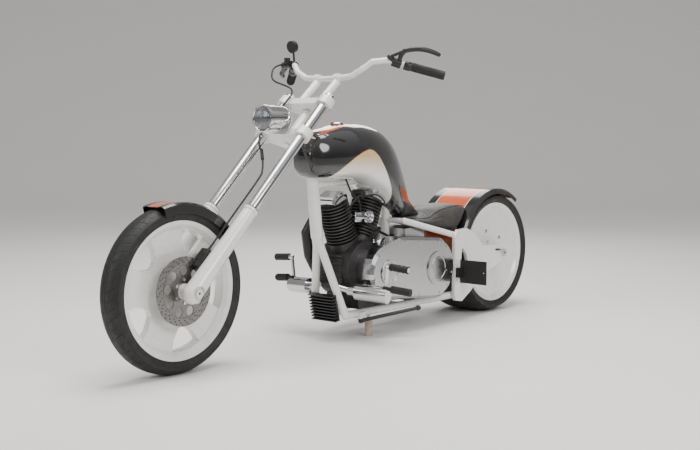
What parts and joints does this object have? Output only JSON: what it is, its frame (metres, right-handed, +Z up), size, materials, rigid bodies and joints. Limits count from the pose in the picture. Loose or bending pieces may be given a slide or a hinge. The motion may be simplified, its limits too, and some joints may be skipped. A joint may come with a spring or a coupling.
{
  "type": "chopper motorcycle",
  "caption": "Long-fork chopper motorcycle with a raked front end, a wide rear tyre and a white frame, standing upright on a prop post.",
  "frame": {"origin": "on the floor under the middle of the overall length, on the middle plane", "axes": "+X to the rider's left, -Y forward, +Z up"},
  "size_m": [0.9886, 2.838, 1.4253],
  "materials": {
    "frame_paint": "gloss",
    "black_paint": "gloss",
    "seat_leather": "satin",
    "brushed_metal": "satin",
    "engine_cast": "satin",
    "chrome": "polished",
    "black_steel": "satin",
    "rubber": "matte",
    "tyre_rubber": "matte",
    "rotor_steel": "brushed",
    "post_paint": "satin"
  },
  "bodies": {
    "chassis": {"frame_neck": "frame_paint", "frame_backbone": "frame_paint", "frame_downtubes": "frame_paint", "frame_lower_rails": "frame_paint", "frame_upper_rails": "frame_paint", "frame_plates": "frame_paint", "tank": "black_paint", "seat": "seat_leather", "rear_fender": "black_paint", "oil_tank": "brushed_metal", "crankcase": "engine_cast", "cylinders": "engine_cast", "rocker_boxes": "chrome", "carburettor": "chrome", "primary_cover": "brushed_metal", "transmission": "engine_cast", "exhaust_pipes": "black_steel", "regulator": "black_steel", "foot_controls": "chrome", "foot_pegs": "rubber", "plate_bracket": "black_steel", "prop_post": "post_paint", "rear_axle": "chrome", "rear_caliper": "black_steel", "drive_belt": "rubber"},
    "steering": {"fork_clamps": "frame_paint", "steering_stem": "chrome", "fork_tubes": "chrome", "fork_legs": "frame_paint", "front_axle": "chrome", "headlamp": "chrome", "handlebar": "frame_paint", "grips": "rubber", "clutch_lever": "black_steel", "brake_lever": "black_steel", "mirror": "black_steel", "front_fender": "black_paint", "front_caliper": "black_steel", "brake_hose": "rubber"},
    "front_wheel": {"front_rim": "frame_paint", "front_tyre": "tyre_rubber", "front_rotor": "rotor_steel"},
    "rear_wheel": {"rear_rim": "frame_paint", "rear_tyre": "tyre_rubber", "rear_pulley": "rotor_steel"},
    "side_stand_leg": {"side_stand": "black_steel"}
  },
  "joints": [
    {"name": "steering_hinge", "type": "hinge", "parent": "chassis", "child": "steering", "pos_m": [0, -1.03927, 0.30903], "axis": [0, 0.7193, 0.6947], "range_deg": [-25, 25]},
    {"name": "front_wheel_axle", "type": "hinge", "parent": "steering", "child": "front_wheel", "pos_m": [0, -1.074, 0.345], "axis": [1, 0, 0], "continuous": true},
    {"name": "rear_wheel_axle", "type": "hinge", "parent": "chassis", "child": "rear_wheel", "pos_m": [0, 1.091, 0.328], "axis": [1, 0, 0], "continuous": true},
    {"name": "side_stand_hinge", "type": "hinge", "parent": "chassis", "child": "side_stand_leg", "pos_m": [0.115, -0.02, 0.097], "axis": [0, 0.3206, -0.9472], "range_deg": [0, 75]}
  ]
}
